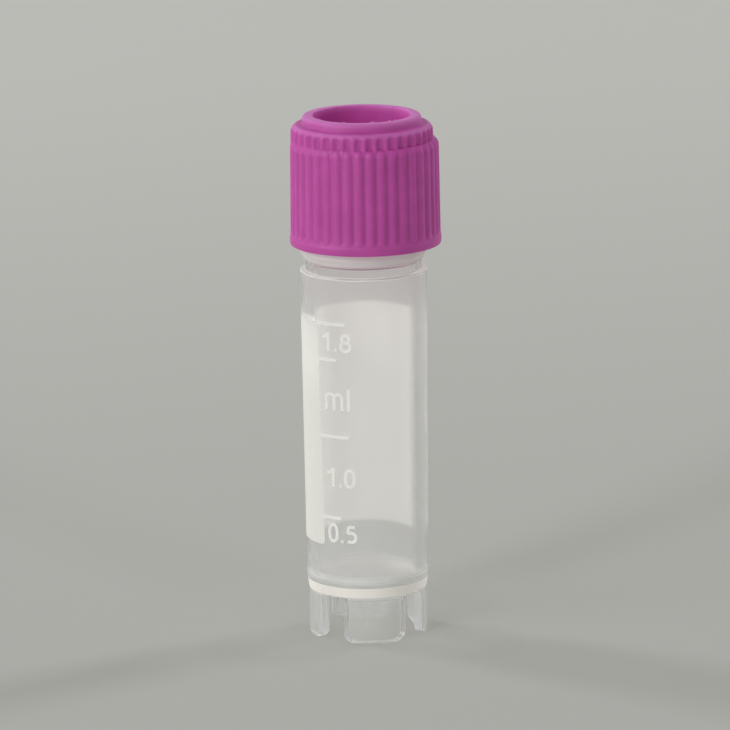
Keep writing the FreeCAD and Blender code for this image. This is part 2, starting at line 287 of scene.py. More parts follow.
def make_piece(name, grids, body, node=None, sharp=35.0):
    """A mesh from grids of points, welded where they meet, with its faces outwards.

    grids is a list of (points, joined): points has rows, columns and xyz, and joined says that
    its last column meets its first. A row whose points are all alike closes to a pole.
    """
    points, quads, count = [], [], 0
    for grid, joined in grids:
        rows, columns = grid.shape[:2]
        quads.append(grid_quads(rows, columns, joined, count))
        points.append(grid.reshape(-1, 3))
        count += rows * columns
    mesh = bpy.data.meshes.new(name)
    points, quads = np.concatenate(points), np.concatenate(quads).astype(np.int32)
    mesh.vertices.add(len(points))
    mesh.vertices.foreach_set("co", points.astype(np.float32).ravel())
    mesh.loops.add(quads.size)
    mesh.loops.foreach_set("vertex_index", quads.ravel())
    mesh.polygons.add(len(quads))
    mesh.polygons.foreach_set("loop_start", np.arange(0, quads.size, 4, dtype=np.int32))
    mesh.update(calc_edges=True)
    work = bmesh.new()
    work.from_mesh(mesh)
    bmesh.ops.remove_doubles(work, verts=work.verts, dist=WELD)
    bmesh.ops.dissolve_degenerate(work, edges=work.edges, dist=SLIVER)
    bmesh.ops.recalc_face_normals(work, faces=work.faces)
    work.to_mesh(mesh)
    work.free()
    mesh.shade_smooth()
    mesh.set_sharp_from_angle(angle=math.radians(sharp))
    piece = bpy.data.objects.new(name, mesh)
    bpy.context.scene.collection.objects.link(piece)
    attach(piece, body)
    if node:
        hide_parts(node)
    return piece


def closed_bar(points):
    """The rows of a bar, with each of its ends drawn together to a pole."""
    poles = [np.broadcast_to(points[end].mean(axis=0), points[end].shape)[None] for end in (0, -1)]
    return np.concatenate([poles[0], points, poles[1]])


def thread_fade(laps, s):
    """1 along a thread, falling to 0 over the run-out at each of its ends."""
    return smooth(0, s.run_out, laps) * (1 - smooth(s.turns - s.run_out, s.turns, laps))


def ridge(offset, s):
    """A thread's height over its wall: full on the crest, falling straight to nothing at the root."""
    flank = (s.root - s.crest) / 2
    return s.depth * np.clip((s.root / 2 - np.abs(offset)) / flank, 0, 1)


def thread_on_neck(angle, height, s):
    """Height of the neck's thread: a ridge about z = start + lead * turns, run out at both ends."""
    total = np.zeros(np.broadcast(angle, height).shape)
    for lap in range(int(s.turns) + 2):
        laps = angle / (2 * math.pi) % 1.0 + lap
        rib = ridge(height - s.start - s.lead * laps, s)
        total = np.maximum(total, thread_fade(laps, s) * rib)
    return total


# ---------------------------------------------------------------- clear tube

def tube_columns(radius, s):
    """Angles of the tube's columns at each radius.

    A foot's columns share the arc between its two slots, and lie closer together at its rounded
    corners. A slot's columns share its width, so that its two sides stay parallel. Inside the
    feet's bore the columns keep the angles that they have there.
    """
    radius = np.maximum(np.asarray(radius, float), s.foot_bore)[..., None]
    along = 2 * foot_share(s)[:-1] - 1
    across = np.linspace(-1, 1, SLOT_COLUMNS + 1)[:-1]
    rounds = []
    for quarter in range(4):
        middle = s.foot_turn + quarter * math.pi / 2
        rounds.append(middle + along * foot_reach(radius, s))
        rounds.append(middle + math.pi / 4 + np.arcsin(s.slot_width / 2 * across / radius))
    return np.concatenate(rounds, axis=-1)


def foot_reach(radius, s):
    """Half of a foot's angle: an eighth of a turn, less the angle of half a slot at that radius."""
    return math.pi / 4 - np.arcsin(s.slot_width / 2 / radius)


def foot_width(s):
    """Length of a foot's outer arc."""
    return 2 * s.foot_radius * foot_reach(s.foot_radius, s)


def foot_share(s):
    """Places of a foot's columns from one slot (0) to the next (1).

    In a corner they stand at x = R (1 - cos a) for even steps of a, and between them evenly.
    """
    quarter_turn = np.linspace(0, math.pi / 2, CORNER_COLUMNS)
    corner = s.foot_corner * (1 - np.cos(quarter_turn)) / foot_width(s)
    middle = np.linspace(corner[-1], 1 - corner[-1], FOOT_COLUMNS)[1:-1]
    return np.concatenate([corner, middle, 1 - corner[::-1]])


def foot_grids(quarter, s):
    """One foot: a wall folded down its outside, under its sole and up its inside, and two sides.

    At x from a slot the sole stands at the fall of a round corner, which rounds the lower corners.
    The same rule with the small edge radius draws in both walls beside the slots, from 0.8 mm
    below their heads, and turns the walls into the sole. Each side joins the wall's outer half to
    its inner half.
    """
    along = foot_share(s)
    x = np.minimum(along, 1 - along) * foot_width(s)
    sole = corner_fall(s.foot_corner, x)
    bend = np.linspace(0, math.pi / 2, 6)[:, None]
    upright = np.linspace(0, 1, 12)[:, None]
    foot_top = sole + s.foot_edge
    height = np.concatenate([
        s.foot_height + (foot_top - s.foot_height) * upright,
        sole + s.foot_edge * (1 - np.sin(bend[1:])),
    ])
    inset = np.concatenate([
        np.zeros((len(upright), len(x))),
        s.foot_edge * (1 - np.cos(bend[1:])) * np.ones_like(x),
    ])
    draw = corner_fall(s.foot_edge, x) * smooth(0, 0.8 * MM, s.foot_height - height)
    outer, inner = s.foot_radius - inset - draw, s.foot_bore + inset + draw
    radius = np.concatenate([outer, inner[::-1]])
    height = np.concatenate([height, height[::-1]])
    middle = s.foot_turn + quarter * math.pi / 2
    angle = middle + (2 * along - 1) * foot_reach(radius, s)
    wall = around(radius, angle, height)
    half = len(wall) // 2
    sides = [np.stack([wall[:half, end], wall[::-1][:half, end]], axis=1) for end in (0, -1)]
    return [(wall, False)] + [(side, False) for side in sides]


def make_tube(scene):
    """The tube as one closed surface.

    The shell is a profile turned all round: up the outside, over the mouth, down the bore and
    along the conical floor to a pole. The underside is another, from the gate pip's pole out to
    the feet. A flat ring closes the slots, and the feet hang from it. The neck has a row every
    tenth of a millimetre, and its radius grows by the height of the thread.
    """
    s, t = scene.vial_tube, scene.vial_thread
    mouth = TUBE_BOX[1].z
    slope_low = s.collar_low + s.first_high
    threaded_rows = np.arange(s.collar_top + 0.2 * MM, mouth - 0.3 * MM, 0.1 * MM)
    shell = corner_path([
        (s.foot_radius, s.foot_height, 0),
        (s.body_low, s.band_top, 0.02 * MM),
        (s.body_top, s.shoulder, 0.1 * MM),
        (s.waist, s.waist_low, 0.12 * MM),
        (s.waist, s.collar_low, 0.05 * MM),
        (s.waist + s.first_wide, slope_low, 0.05 * MM),
        (s.collar, slope_low + s.collar_slope, 0.2 * MM),
        (s.collar, s.collar_top, 0.1 * MM),
        (s.neck, s.collar_top, 0.08 * MM),
        *[(s.neck, z, 0) for z in threaded_rows],
        (s.neck, mouth - s.mouth_edge, 0.05 * MM),
        (s.neck - s.mouth_edge, mouth, 0.05 * MM),
        (s.bore_top, mouth, 0.12 * MM),
        (s.bore_low, s.floor_edge, 0.5 * MM),
        (s.floor_flat, s.floor_middle, 0.4 * MM),
        (0, s.floor_middle, 0),
    ])
    radius, height = shell[:, 0], shell[:, 1]
    angle = tube_columns(radius, s)
    outside = np.arange(len(shell)) < np.argmax(height)
    neck = outside & (height > s.collar_top + 0.1 * MM)
    radius = radius[:, None] + neck[:, None] * thread_on_neck(angle, height[:, None], t)
    grids = [(around(radius, angle, height[:, None]), True)]

    under = corner_path([
        (0, s.gate_low, 0),
        (s.gate_end, s.gate_low, 0.08 * MM),
        (s.gate_root, s.foot_height - s.gate_drop, 0.25 * MM),
        (s.foot_bore, s.foot_height + s.underside, 0.1 * MM),
        (s.foot_bore, s.foot_height, 0),
    ], close=0.00003)
    grids.append((around(under[:, :1], tube_columns(under[:, 0], s), under[:, 1:]), True))

    ring = np.array([s.foot_bore, s.foot_radius])
    ceiling = around(ring[:, None], tube_columns(ring, s), s.foot_height)
    foot = len(foot_share(s)) - 1
    for quarter in range(4):
        first = quarter * (foot + SLOT_COLUMNS) + foot
        columns = np.arange(first, first + SLOT_COLUMNS + 1) % ceiling.shape[1]
        grids.append((ceiling[:, columns], False))
        grids += foot_grids(quarter, s)
    return make_piece("tube_moulding", grids, "tube", "tube")


# ----------------------------------------------------------------- screw cap

def repeated(angle, count, radius):
    """Distance along a wall of the given radius from the nearest of count places."""
    pitch = 2 * math.pi / count
    return np.abs((angle + pitch / 2) % pitch - pitch / 2) * radius


def skirt_reach(angle, height, s):
    """Distance from the vial's axis to the skirt in each direction.

    The skirt is a circle of radius R about a point shifted towards +X, less a rounded groove at
    each place round that point. The grooves start above the bead, and over the step the radius
    falls along a quarter of an ellipse. With c the shift along the direction, reach =
    c + sqrt(R^2 - shift^2 + c^2), and the groove's angle is that of the point found, so it is
    worked out again from each answer. A groove is a wave of the cosine across, and a rib's face
    falls a little towards it. The bead's edges draw back as round corners do.
    """
    low = CAP_BOX[0].z
    bead_top = low + s.bead_height
    plain = np.interp(height, [bead_top, s.step_low], [s.skirt_low, s.skirt_top])
    up = np.clip((height - s.step_low) / (s.step_high - s.step_low), 0, 1)
    fall = s.skirt_top - (s.crown - s.skirt_shift)
    plain = plain - fall * (1 - np.sqrt(1 - up ** 2))
    edge = np.minimum(height - low, bead_top - height)
    bead = np.where(height < bead_top, s.bead - corner_fall(s.bead_round, edge), 0)
    start = bead_top - 0.05 * MM
    depth = s.groove_depth * smooth(start, start + s.groove_rise, height)
    along = s.skirt_shift * np.sin(angle)
    found = angle
    for _ in range(3):
        off = repeated(found, s.ribs, s.skirt_low)
        groove = 0.5 + 0.5 * np.cos(math.pi * np.clip(off / s.groove_half, 0, 1))
        face = s.rib_round * (1 - smooth(s.groove_half, s.rib_full, off))
        radius = np.maximum(plain - depth * groove - face * (depth > 0), bead)
        reach = along + np.sqrt(radius ** 2 - s.skirt_shift ** 2 + along ** 2)
        found = np.arctan2(reach * np.sin(angle) - s.skirt_shift, reach * np.cos(angle))
    return reach


def soft_least(first, second, blend):
    """The smaller of two lengths, with its crease rounded over a width of blend.

    With d the difference and m = max(blend - |d|, 0), it is the smaller less m * m / (4 blend).
    """
    meet = np.maximum(blend - np.abs(first - second), 0)
    return np.minimum(first, second) - meet ** 2 / (4 * blend)


def pocket_reach(angle, s):
    """Distance from the axis to the floor of the crown's pockets.

    With u the way from a pocket's middle to its side, the floor lies depth * (1 - u^2.2) under its
    sides, which stand a little over the crown so that they leave sharp corners on it.
    """
    off = repeated(angle - s.pocket_turn, s.ribs, s.crown)
    u = np.clip(off / s.pocket_half, 0, 1)
    return s.crown + 0.02 * MM - s.pocket_depth * (1 - u ** 2.2)


# Nicks of flash on the recess's edge: place in degrees, height and half width in millimetres.
FLASH = (
    (-20.7, 0.08, 0.12), (12.1, 0.13, 0.2), (34.4, 0.12, 0.14), (41.9, 0.08, 0.1), (-58.0, 0.05, 0.2),
    (140.0, 0.08, 0.15), (-150.0, 0.06, 0.12),
)
# How far they reach across the edge, and how far they lean inwards as a share of their height.
FLASH_REACH, FLASH_LEAN = 0.16 * MM, 0.4


def flash_height(angle, off_edge, radius):
    """Height of the flash: for each nick a bell exp(-(d / width)^2) along the edge and across it."""
    total = np.zeros(np.broadcast(angle, off_edge).shape)
    for place, size, width in FLASH:
        along = (angle - math.radians(place) + math.pi) % (2 * math.pi) - math.pi
        total += size * MM * np.exp(-(along * radius / (width * MM)) ** 2)
    return total * np.exp(-(off_edge / FLASH_REACH) ** 2)


def make_cap(scene):
    """The screw cap as one closed surface.

    Up to the step its wall is the skirt's reach. From there on it is the larger of the skirt's
    reach and the crown's, and the crown is the smaller of its plain round profile and the floor of
    its pockets, which so run out in arches on the rounded shoulder. The rim, the recess, the lip
    and the bore are a profile turned about the axis. Small nicks of flash stand on the recess's edge.
    """
    s = scene.vial_cap
    low, top = CAP_BOX[0].z, CAP_BOX[1].z
    bead_top = low + s.bead_height
    angle = np.linspace(0, 2 * math.pi, RIB_COLUMNS * s.ribs, endpoint=False)
    rounding = np.linspace(0, math.pi / 2, 7)
    # Rows up the skirt: round the bead's two edges, closely where the grooves deepen, to the step.
    rise = np.concatenate([
        low + s.bead_round * (1 - np.cos(rounding)),
        bead_top - s.bead_round * np.sin(rounding[::-1]),
        bead_top + MM * np.array([0.02, 0.06, 0.12, 0.18, 0.25, 0.32, 0.4, 0.5, 4.0]),
        s.step_low + MM * np.array([-0.3, -0.12, -0.06]),
    ])
    skirt = skirt_reach(angle, rise[:, None], s)
    grids = [around(skirt, angle, rise[:, None])]

    # Rows over the step, the last of them on the crown's own wall.
    slant = np.concatenate([
        np.linspace(s.step_low, s.step_high, 22),
        s.step_high + MM * np.array([0.004, 0.05, 0.3]),
    ])
    reach = skirt_reach(angle, slant[:, None], s) * (slant[:, None] <= s.step_high)
    crown = soft_least(s.crown, pocket_reach(angle, s), 0.1 * MM)
    grids.append(around(-soft_least(-reach, -crown, 0.25 * MM), angle, slant[:, None]))

    bend = np.linspace(0, math.pi / 2, 16)[:, None]
    inside = s.crown - s.crown_round
    shoulder = soft_least(inside + s.crown_round * np.cos(bend), pocket_reach(angle, s), 0.12 * MM)
    grids.append(around(shoulder, angle, s.crown_flat - s.crown_round * (1 - np.sin(bend))))

    inner = corner_path([
        (inside, s.crown_flat, 0),
        (s.rim + s.rim_foot, s.crown_flat, 0.35 * MM),
        (s.rim, top, 0.3 * MM),
        (s.recess, top, 0.12 * MM),
        (s.recess - s.recess_draft, s.recess_floor, 0.2 * MM),
        (0, s.recess_floor, 0),
    ], step=0.002)[1:]
    radius, height = inner[:, :1], inner[:, 1:]
    flash = flash_height(angle, np.hypot(radius - s.recess, height - top), s.recess)
    grids.append(around(radius - FLASH_LEAN * flash, angle, height + flash))

    lip = corner_path([
        (s.mouth + 0.1 * MM, low, 0),
        (s.mouth, low, 0.1 * MM),
        (s.mouth, s.mouth_top, 0.1 * MM),
        (s.bore, s.mouth_top, 0.05 * MM),
        (s.bore, SEAL_BOX[1].z, 0.1 * MM),
        (s.boss, SEAL_BOX[1].z, 0.1 * MM),
        (s.boss, s.boss_low, 0.2 * MM),
        (0, s.boss_low, 0),
    ], step=0.003, bend=0.6)
    grids.append(around(lip[::-1, :1], angle, lip[::-1, 1:]))
    wall = np.concatenate([grids[-1], *grids[:-1]])
    return make_piece("ribbed_cap", [(wall, True)], "cap", "screw_cap", sharp=50.0)


# ------------------------------------------------------------------- threads

def make_cap_thread(scene):
    """The cap's thread: a four-sided bar along a helix on the bore, lying above the neck's thread.

    Its section follows z = start + lead * turns, and shrinks into the wall at both ends.
    """
    s, t = scene.vial_cap, scene.vial_thread
    laps = np.linspace(0, t.turns, int(96 * t.turns) + 1)[:, None]
    fade = thread_fade(laps, t)
    start = t.start + t.lead - ((t.root + t.crest) / 2 + t.play)
    sunk = 0.1 * MM
    inward = np.array([[-sunk, 0, t.depth, t.depth, 0, -sunk]]) * fade - sunk * (1 - fade)
    upward = np.array([[-t.root, -t.root, -t.crest, t.crest, t.root, t.root]]) / 2
    bar = closed_bar(around(s.bore - inward, 2 * math.pi * laps, start + t.lead * laps + upward))
    return make_piece("cap_thread", [(bar, True)], "cap", sharp=30.0)


# --------------------------------------------------------------------- print

def wall_radius(height, s):
    """Outer radius of the tapered body at each height."""
    return np.interp(height, [s.band_top, s.shoulder], [s.body_low, s.body_top])


def on_wall(along, height, lift, s):
    """Points on the body's wall: along is the distance round it from the front, lift is outwards."""
    radius = wall_radius(height, s)
    return around(radius + lift, along / radius, height)


def bar_of_ink(path, width, ink, key, s):
    """A bar of ink along a path of (along, height) points, with a four-sided section.

    The bar's edges stand half its width to each side of the path, square to it: with the path's
    direction (u, v) they lie along (-v, u). Both ends close to a point inside the bar.
    """
    step = np.gradient(path, axis=0)
    step /= np.hypot(step[:, 0], step[:, 1])[:, None]
    side = np.stack([-step[:, 1], step[:, 0]], axis=-1) * width / 2
    edges = np.stack([path - side, path + side, path + side, path - side], axis=1)
    lift = np.array([-key, -key, ink, ink])
    return closed_bar(on_wall(edges[..., 0], edges[..., 1], lift, s)), True


def straight(*corners):
    """A path along straight runs, with a point at most every 0.15 of its unit."""
    runs = []
    for start, end in zip(corners, corners[1:]):
        count = 2 + int(math.dist(start, end) / 0.15)
        runs.append(np.linspace(start, end, count)[:-1])
    return np.concatenate(runs + [np.array([corners[-1]], float)])


def oval(middle, radii, start=0.0, sweep=360.0, squareness=2.3):
    """A path on a superellipse: x = a |cos t|^(2/n), y = b |sin t|^(2/n), with their signs."""
    t = np.radians(np.linspace(start, start + sweep, 5 + int(abs(sweep) / 12)))
    power = 2 / squareness
    x = np.sign(np.cos(t)) * np.abs(np.cos(t)) ** power
    y = np.sign(np.sin(t)) * np.abs(np.sin(t)) ** power
    return np.stack([middle[0] + radii[0] * x, middle[1] + radii[1] * y], axis=-1)


def figure_strokes(letter):
    """Strokes of a figure in a box one unit high, and the room it takes."""
    if letter == "0":
        return [oval((0.28, 0.5), (0.23, 0.44))], 0.57
    if letter == "1":
        flag = oval((0.05, 1.02), (0.36, 0.26), 270, 90, 2.0)
        return [flag, straight((0.42, 0.98), (0.42, 0.0))], 0.62
    if letter == "5":
        bowl = oval((0.27, 0.32), (0.24, 0.25), 128, -262, 2.1)
        return [straight((0.48, 0.88), (0.13, 0.88), (0.09, 0.5)), bowl], 0.6
    if letter == "8":
        return [oval((0.36, 0.7), (0.2, 0.2)), oval((0.36, 0.28), (0.25, 0.23))], 0.68
    if letter == ".":
        return [straight((0.06, 0.07), (0.2, 0.07))], 0.25
    if letter == "m":
        arches = [
            np.concatenate([
                oval((x, 0.52), (0.2, 0.22), 180, -180, 2.2),
                straight((x + 0.2, 0.45), (x + 0.2, 0.0)),
            ])
            for x in (0.29, 0.69)
        ]
        return [straight((0.08, 0.76), (0.08, 0.0)), *arches], 1.02
    if letter == "l":
        return [straight((0.08, 1.02), (0.08, 0.0))], 0.16
    raise ValueError(f"no strokes for {letter}")


# The scale's lines: height of the upper edge in millimetres, and end in degrees from the front.
SCALE_LINES = ((30.47, -18.5), (27.09, -26.9), (19.84, -16.1), (12.12, -25.0))
# Its figures: text, height of the foot and of the figures in millimetres, and start in degrees.
FIGURES = (
    ("1.8", 27.75, 1.75, -42.6), ("ml", 22.2, 2.05, -40.2),
    ("1.0", 14.9, 1.78, -40.0), ("0.5", 9.6, 1.8, -38.7),
)
# The gap between two letters as a share of their height, and between two strokes' upper faces.
LETTER_GAP, STROKE_STEP = 0.1, 0.002 * MM


def front_edge(height, p):
    """Angle of the panel's front edge, which leans a little round the tube on its way down."""
    return np.interp(height, [p.panel_low, p.panel_high], [p.front_low, p.front_high])


def make_panel(scene):
    """The white writing panel: a thin closed sheet round the back of the body.

    Its columns share the way from the back edge to the front edge. At x from either edge its
    upper and lower ends draw in by the fall of a round corner, which rounds its four corners.
    """
    s, p = scene.vial_tube, scene.vial_print
    corner = p.panel_round * (1 - np.cos(np.linspace(0, math.pi / 2, 7)))
    wide = (p.front_low - p.back) * s.body_low
    middle = np.linspace(corner[-1], wide - corner[-1], 130)[1:-1]
    along = np.concatenate([corner, middle, wide - corner[::-1]]) / wide
    draw = corner_fall(p.panel_round, np.minimum(along, 1 - along) * wide)
    up = np.linspace(0, 1, 60)[:, None]
    height = p.panel_low + draw + (p.panel_high - p.panel_low - 2 * draw) * up
    angle = p.back + (front_edge(height, p) - p.back) * along
    radius = wall_radius(height, s)
    outer, inner = around(radius + p.ink, angle, height), around(radius - p.key, angle, height)
    grids = [outer, inner]
    grids += [np.stack([outer[end], inner[end]]) for end in (0, -1)]
    grids += [np.stack([outer[:, end], inner[:, end]]) for end in (0, -1)]
    return make_piece("writing_panel", [(grid, False) for grid in grids], "tube")


def make_scale(scene):
    """The scale's lines and figures, each stroke a bar of ink bent round the body.

    A line runs from the panel's front edge to its own end. Each further stroke of a figure lies a
    little lower than the one before, so that two that cross share no face.
    """
    s, p = scene.vial_tube, scene.vial_print
    grids = []
    for height, end in SCALE_LINES:
        height = height * MM - p.line / 2
        radius = wall_radius(height, s)
        way = np.linspace(front_edge(height, p), math.radians(end), 40) * radius
        path = np.stack([way, np.full_like(way, height)], axis=-1)
        grids.append(bar_of_ink(path, p.line, p.ink, p.key, s))
    for text, low, tall, start in FIGURES:
        low, tall = low * MM, tall * MM
        pen = math.radians(start) * wall_radius(low, s)
        for letter in text:
            strokes, room = figure_strokes(letter)
            for number, stroke in enumerate(strokes):
                path = stroke * tall + (pen, low)
                grids.append(bar_of_ink(path, p.stroke, p.ink - number * STROKE_STEP, p.key, s))
            pen += (room + LETTER_GAP) * tall
    return make_piece("scale_marks", grids, "tube")


# ----------------------------------------------------------------- materials

class Value:
    """A socket that carries a number, on which Python's operators add Math nodes."""

    def __init__(self, finish, socket):
        self.finish = finish
        self.socket = socket

    def math(self, operation, *others):
        """A Math node on this value and the others, in that order."""
        return self.finish.add("Math", dict(enumerate((self, *others))), operation=operation)

    def __add__(self, other):
        return self.math("ADD", other)

    def __sub__(self, other):
        return self.math("SUBTRACT", other)

    def __mul__(self, other):
        return self.math("MULTIPLY", other)

    def __rsub__(self, other):
        return self.math("MULTIPLY_ADD", -1, other)

    __radd__ = __add__
    __rmul__ = __mul__


class Finish:
    """A material, or the room's light, under construction."""

    def __init__(self, holder, colour=None):
        holder.use_nodes = True
        if colour:
            holder.diffuse_color = (*colour, 1)
        self.holder = holder
        self.tree = holder.node_tree
        self.tree.nodes.clear()

    def add(self, kind, sockets=None, out=0, **settings):
        """Adds a node of a kind, makes its settings, then fills its sockets, by name or number."""
        node = self.tree.nodes.new("ShaderNode" + kind)
        for key, value in settings.items():
            setattr(node, key, value)
        for key, value in (sockets or {}).items():
            socket = node.inputs[key]
            if isinstance(value, Value):
                self.tree.links.new(value.socket, socket)
            elif hasattr(socket.default_value, "__len__") and len(value) < len(socket.default_value):
                socket.default_value = (*value, 1)
            else:
                socket.default_value = value
        return Value(self, node.outputs[out]) if node.outputs else None

    def place(self):
        """Object coordinates."""
        return self.add("TexCoord", out="Object")

    def along(self, axis, place=None):
        """One coordinate of a place, or of the point itself: along Z, its height above the ground."""
        return self.add("SeparateXYZ", {0: place or self.place()}, axis)

    def radius(self):
        """Distance from the vial's axis."""
        flat = self.add("Mapping", {"Vector": self.place(), "Scale": (1, 1, 0)})
        return self.add("VectorMath", {0: flat}, "Value", operation="LENGTH")

    def noise(self, scale, detail=2.0, roughness=0.5, stretch=(1, 1, 1)):
        """Soft noise from 0 to 1 with about scale waves to the metre, drawn out along stretch."""
        place = self.add("Mapping", {"Vector": self.place(), "Scale": stretch})
        sockets = {"Vector": place, "Scale": scale, "Detail": detail, "Roughness": roughness}
        return self.add("TexNoise", sockets)

    def step(self, value, low, high):
        """Rises smoothly from 0 at low to 1 at high."""
        sockets = {"Value": value, "From Min": low, "From Max": high}
        return self.add("MapRange", sockets, interpolation_type="SMOOTHSTEP")

    def between(self, value, rise, fall):
        """1 between two soft edges, each given by where it begins and ends, and 0 outside them."""
        return self.step(value, *rise) * (1 - self.step(value, *fall))

    def blend(self, factor, first, second):
        """A colour between two colours."""
        return self.add("Mix", {0: factor, 6: first, 7: second}, 2, data_type="RGBA")

    def foot_edges(self, s):
        """1 on the outline of each foot, falling to 0 a little way in from it.

        Turned so that the slots run along X and Y, a point stands t = min(|x|, |y|) - half a slot
        from its foot's side. With p = max(R - t, 0) and q = max(R - z, 0) it lies
        R - sqrt(p^2 + q^2) inside the outline, whose lower corners have the radius R.
        """
        turn_back = (0, 0, -s.foot_turn - math.pi / 4)
        turned = self.add("Mapping", {"Vector": self.place(), "Rotation": turn_back})
        place = self.add("VectorMath", {0: turned}, operation="ABSOLUTE")
        x, y, z = (self.along(axis, place) for axis in "XYZ")
        beside = x.math("MINIMUM", y) - s.slot_width / 2
        p, q = ((s.foot_corner - v).math("MAXIMUM", 0.0) for v in (beside, z))
        inside = s.foot_corner - (p * p + q * q).math("SQRT")
        return 1 - self.step(inside, 0.04 * MM, 0.2 * MM)

    def ray(self, kind):
        """1 for the rays of a kind, such as Shadow or Diffuse."""
        return self.add("LightPath", out=f"Is {kind} Ray")

    def lamp_rays(self):
        """1 for the rays that carry a lamp's or the room's light straight on to what lies behind."""
        return self.ray("Shadow") + self.ray("Diffuse")

    def bump(self, height, strength, distance):
        """The surface's direction on small bumps as high as distance."""
        return self.add("Bump", {"Height": height, "Strength": strength, "Distance": distance})

    def shader(self, **values):
        """The Principled shader, its sockets named with underscores for spaces."""
        sockets = {key.replace("_", " "): value for key, value in values.items()}
        return self.add("BsdfPrincipled", sockets)

    def passing(self, colour):
        """A shader that lets light straight through, tinted."""
        return self.add("BsdfTransparent", {"Color": colour})

    def glowing(self, colour):
        """A shader that lights up from behind."""
        return self.add("BsdfTranslucent", {"Color": colour})

    def mix(self, factor, first, second):
        """Two shaders, by a factor from 0 for the first to 1 for the second."""
        return self.add("MixShader", {0: factor, 1: first, 2: second})

    def finish(self, shader, output="OutputMaterial"):
        """Joins the shader to the output, and gives back the material or world."""
        self.add(output, {"Surface": shader})
        return self.holder


def clear_plastic(scene):
    """Natural polypropylene: clear, with a milky haze that whitens the thick band and the collar.

    Its roughness changes softly along the tube as the melt's flow leaves it, and the surface has
    the faint waviness of a moulding. The floor's upper side is frosted, and its underside nearly
    vanishes. A lamp's shadow ray passes the plastic as it passes the real one. The milky white on
    the feet's outlines and on the shoulder's edge is a painted highlight, and the pink tint towards
    the cap is painted light from the cap.
    """
    colours, s = scene.vial_finishes, scene.vial_tube
    f = Finish(bpy.data.materials.new("clear_plastic"), colours.clear)
    height, out = f.along("Z"), f.radius()
    flow = f.noise(90, 3.0, 0.55, (1, 1, 0.22))
    fine = f.noise(2600, 2.0)
    waves = f.bump(flow * 0.8 + fine * 0.05, 0.12, 0.4 * MM)
    outside = f.step(out, s.waist - 0.05 * MM, s.waist + 0.05 * MM)
    inside = 1 - f.step(out, s.bore_low + 0.02 * MM, s.bore_low + 0.1 * MM)

    # A mask for each part of the moulding from the ground up, and then for the conical floor's
    # upper side (base) and underside (under).
    sole = 1 - f.step(height, 0.1 * MM, 0.4 * MM)
    feet = 1 - f.step(height, s.foot_height - 0.5 * MM, s.foot_height)
    # Painted highlight: milky white along the feet's outlines, strongest at the soles, stands in for
    # the bright edge lines made by light through the feet.
    edge = f.foot_edges(s) * feet * (0.05 + sole * 0.35)
    low = 1 - f.step(height, s.band_top + 0.3 * MM, s.band_top + 1.2 * MM)
    band = outside * f.between(
        height,
        (s.foot_height - 0.1 * MM, s.foot_height + 0.1 * MM),
        (s.band_top - 0.02 * MM, s.band_top + 0.03 * MM),
    )
    wall = f.between(
        height,
        (s.floor_edge - 0.1 * MM, s.floor_edge + 0.1 * MM),
        (s.shoulder - 0.1 * MM, s.shoulder),
    )
    # Painted highlight: milky white on the shoulder's top edge and the ledge up to the waist stands
    # in for the bright line seen along the shoulder.
    ledge = outside * f.between(
        height,
        (s.shoulder - 0.14 * MM, s.shoulder - 0.06 * MM),
        (s.waist_low + 0.02 * MM, s.waist_low + 0.08 * MM),
    )
    neck = f.step(height, s.collar_low + 0.15 * MM, s.collar_low + 0.45 * MM)
    collar = neck * (1 - f.step(height, s.collar_top, s.collar_top + 0.3 * MM))
    base = inside * (1 - f.step(height, s.floor_edge + 0.2 * MM, s.floor_edge + 0.8 * MM))
    base = base * (1 - feet)
    slope = (s.floor_edge - s.floor_middle) / (s.bore_low - s.floor_flat)
    upper = s.floor_middle - slope * s.floor_flat
    under = 1 - f.step(height - slope * out, upper - 0.64 * MM, upper - 0.44 * MM)
    under = under * (1 - f.step(out, s.foot_bore - 0.12 * MM, s.foot_bore - 0.01 * MM))

    haze = (
        wall * 0.08 + outside * (low - feet) * 0.2 + feet * 0.09 + edge
        + band * 0.8 + neck * 0.2 + collar * 0.4 + (ledge + base) * 0.6
    )
    # Painted light: the plastic's tint turns pink towards the cap, standing in for light coloured by
    # the cap shining into the tube.
    cap_light_share = f.step(height, 0.6 * s.shoulder, s.shoulder)
    clear = f.shader(
        Base_Color=f.blend(cap_light_share, colours.clear, colours.cap_light_tint),
        Transmission_Weight=0.97,
        IOR=1.49,
        Roughness=0.1 + flow * 0.06 + low * 0.06 + neck * 0.05 + base * 0.3,
        Normal=waves,
    )
    white = f.blend(neck, colours.haze, colours.neck)
    white = f.blend(base, f.blend(band, white, colours.band), colours.frost)
    milky = f.shader(
        Base_Color=white,
        Roughness=0.75 + fine * 0.08,
        Specular_IOR_Level=0.15,
        Normal=waves,
    )
    milky = f.mix(0.2, milky, f.glowing(colours.haze))
    through = f.lamp_rays() * (1 - band * 0.4 - feet * 0.1)
    through = through.math("MAXIMUM", under * 0.8)
    return f.finish(f.mix(through, f.mix(haze, clear, milky), f.passing((0.98, 0.98, 0.97))))


